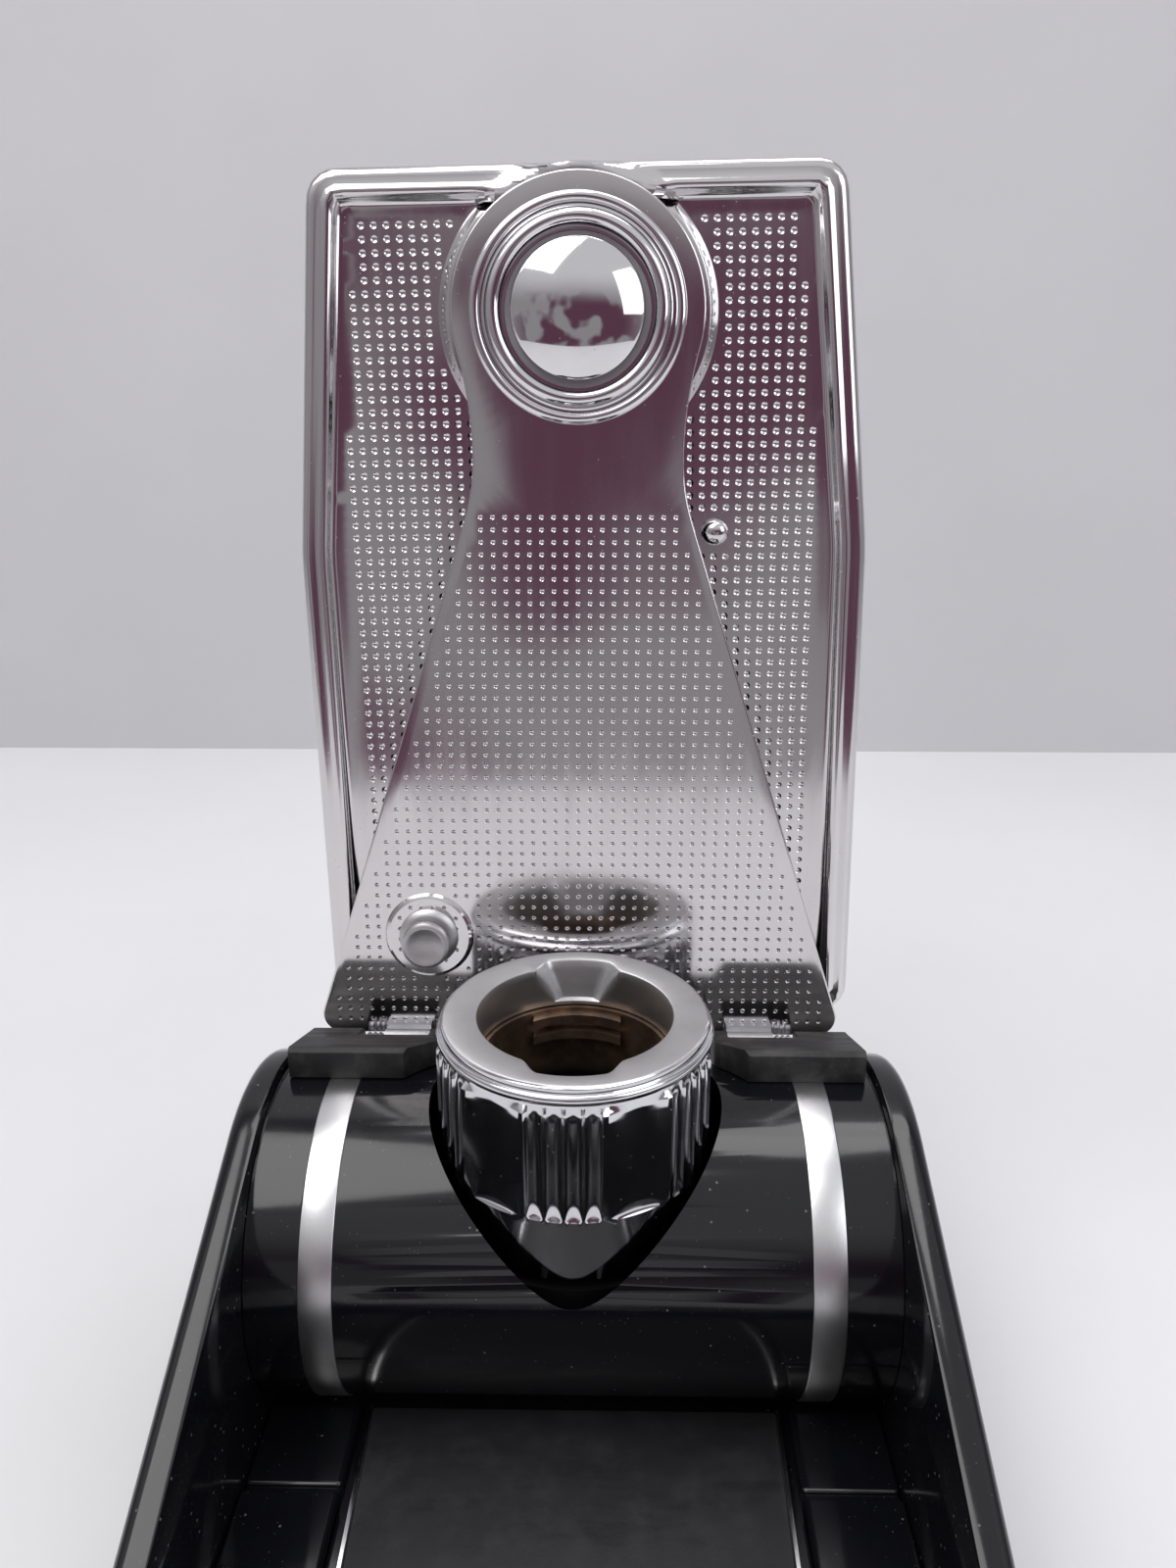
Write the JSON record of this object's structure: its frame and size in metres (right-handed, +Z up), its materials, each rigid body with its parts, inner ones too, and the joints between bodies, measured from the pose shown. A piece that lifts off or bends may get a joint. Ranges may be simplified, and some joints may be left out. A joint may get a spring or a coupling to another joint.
{
  "type": "paper towel holder",
  "caption": "Countertop holder: weighted wedge base with a banded drum, fluted twist collar over a post socket, and a folding arm with a swivelling dimpled plate",
  "frame": {"origin": "centre of the base's footprint, on the surface it stands on", "axes": "+X across the base to its right seen from the front, +Y from the nose back to the arm, +Z up along the arm's height"},
  "size_m": [0.11, 0.154, 0.2025],
  "materials": {
    "black_gloss": "moulded black plastic with a high gloss, lightly dusted",
    "satin_band": "satin bright metal band, fine grain round the drum",
    "matte_panel": "matte dark grey fine-grained insert",
    "bright_trim": "thin bright metal strip",
    "matte_cover": "matte black moulded cover",
    "foot_rubber": "soft black rubber",
    "zinc_steel": "plated steel fastener",
    "ballast_steel": "raw iron plate",
    "bronze_sleeve": "dull bronze, machined",
    "spring_steel": "drawn spring wire",
    "collar_chrome": "polished chrome flanks with a turned satin rim",
    "bracket_black": "worn matte black moulding, dusty on top",
    "sheet_chrome": "bright plated sheet with rows of pressed dimples",
    "ring_chrome": "polished stepped dress ring",
    "nylon_white": "natural nylon",
    "mirror_chrome": "mirror polished dome",
    "satin_pin": "satin plated pin with a dished head"
  },
  "bodies": {
    "base": {"base_housing": "black_gloss", "drum_shell": "black_gloss", "left_band": "satin_band", "right_band": "satin_band", "centre_panel": "matte_panel", "panel_trims": "bright_trim", "left_deck": "black_gloss", "right_deck": "black_gloss", "bottom_cover": "matte_cover", "rubber_feet": "foot_rubber", "cover_screws": "zinc_steel", "ballast_plate": "ballast_steel", "ballast_screws": "zinc_steel", "socket_sleeve": "bronze_sleeve", "sleeve_screws": "zinc_steel", "snap_ring": "spring_steel", "thrust_washer": "zinc_steel", "detent_ball": "zinc_steel", "detent_spring": "spring_steel", "left_bracket": "bracket_black", "right_bracket": "bracket_black", "bracket_screws": "zinc_steel", "hinge_pins": "zinc_steel", "hinge_springs": "spring_steel"},
    "collar": {"twist_collar": "collar_chrome"},
    "arm": {"swing_arm": "sheet_chrome", "hinge_leaves": "zinc_steel", "pivot_ring": "ring_chrome", "pivot_hub": "zinc_steel", "pivot_washer": "nylon_white", "back_washer": "zinc_steel", "hub_clip": "spring_steel", "button_spring": "spring_steel", "index_bush": "satin_pin", "index_spring": "spring_steel"},
    "button": {"pivot_button": "mirror_chrome", "button_clip": "spring_steel"},
    "pin": {"index_pin": "satin_pin", "index_clip": "spring_steel"},
    "plate": {"swivel_plate": "sheet_chrome"}
  },
  "joints": [
    {"name": "arm_fold", "type": "hinge", "parent": "base", "child": "arm", "pos_m": [0, 0.0505, 0.0555], "axis": [1, 0, 0], "range_deg": [-40, 0]},
    {"name": "plate_swivel", "type": "hinge", "parent": "arm", "child": "plate", "pos_m": [0, 0.06112, 0.18008], "axis": [0, 0.9981, -0.061], "range_deg": [-90, 0]},
    {"name": "button_press", "type": "slide", "parent": "arm", "child": "button", "axis": [0, 0.9981, -0.061], "range_m": [0, 0.0015], "stiffness_N_per_m": 900, "deforming": ["button_spring"]},
    {"name": "index_press", "type": "slide", "parent": "arm", "child": "pin", "axis": [0, 0.9981, -0.061], "range_m": [0, 0.0018], "stiffness_N_per_m": 700, "deforming": ["index_spring"]},
    {"name": "collar_twist", "type": "hinge", "parent": "base", "child": "collar", "pos_m": [0, 0.0306, 0.06], "axis": [0, 0, 1], "range_deg": [0, 60]}
  ]
}
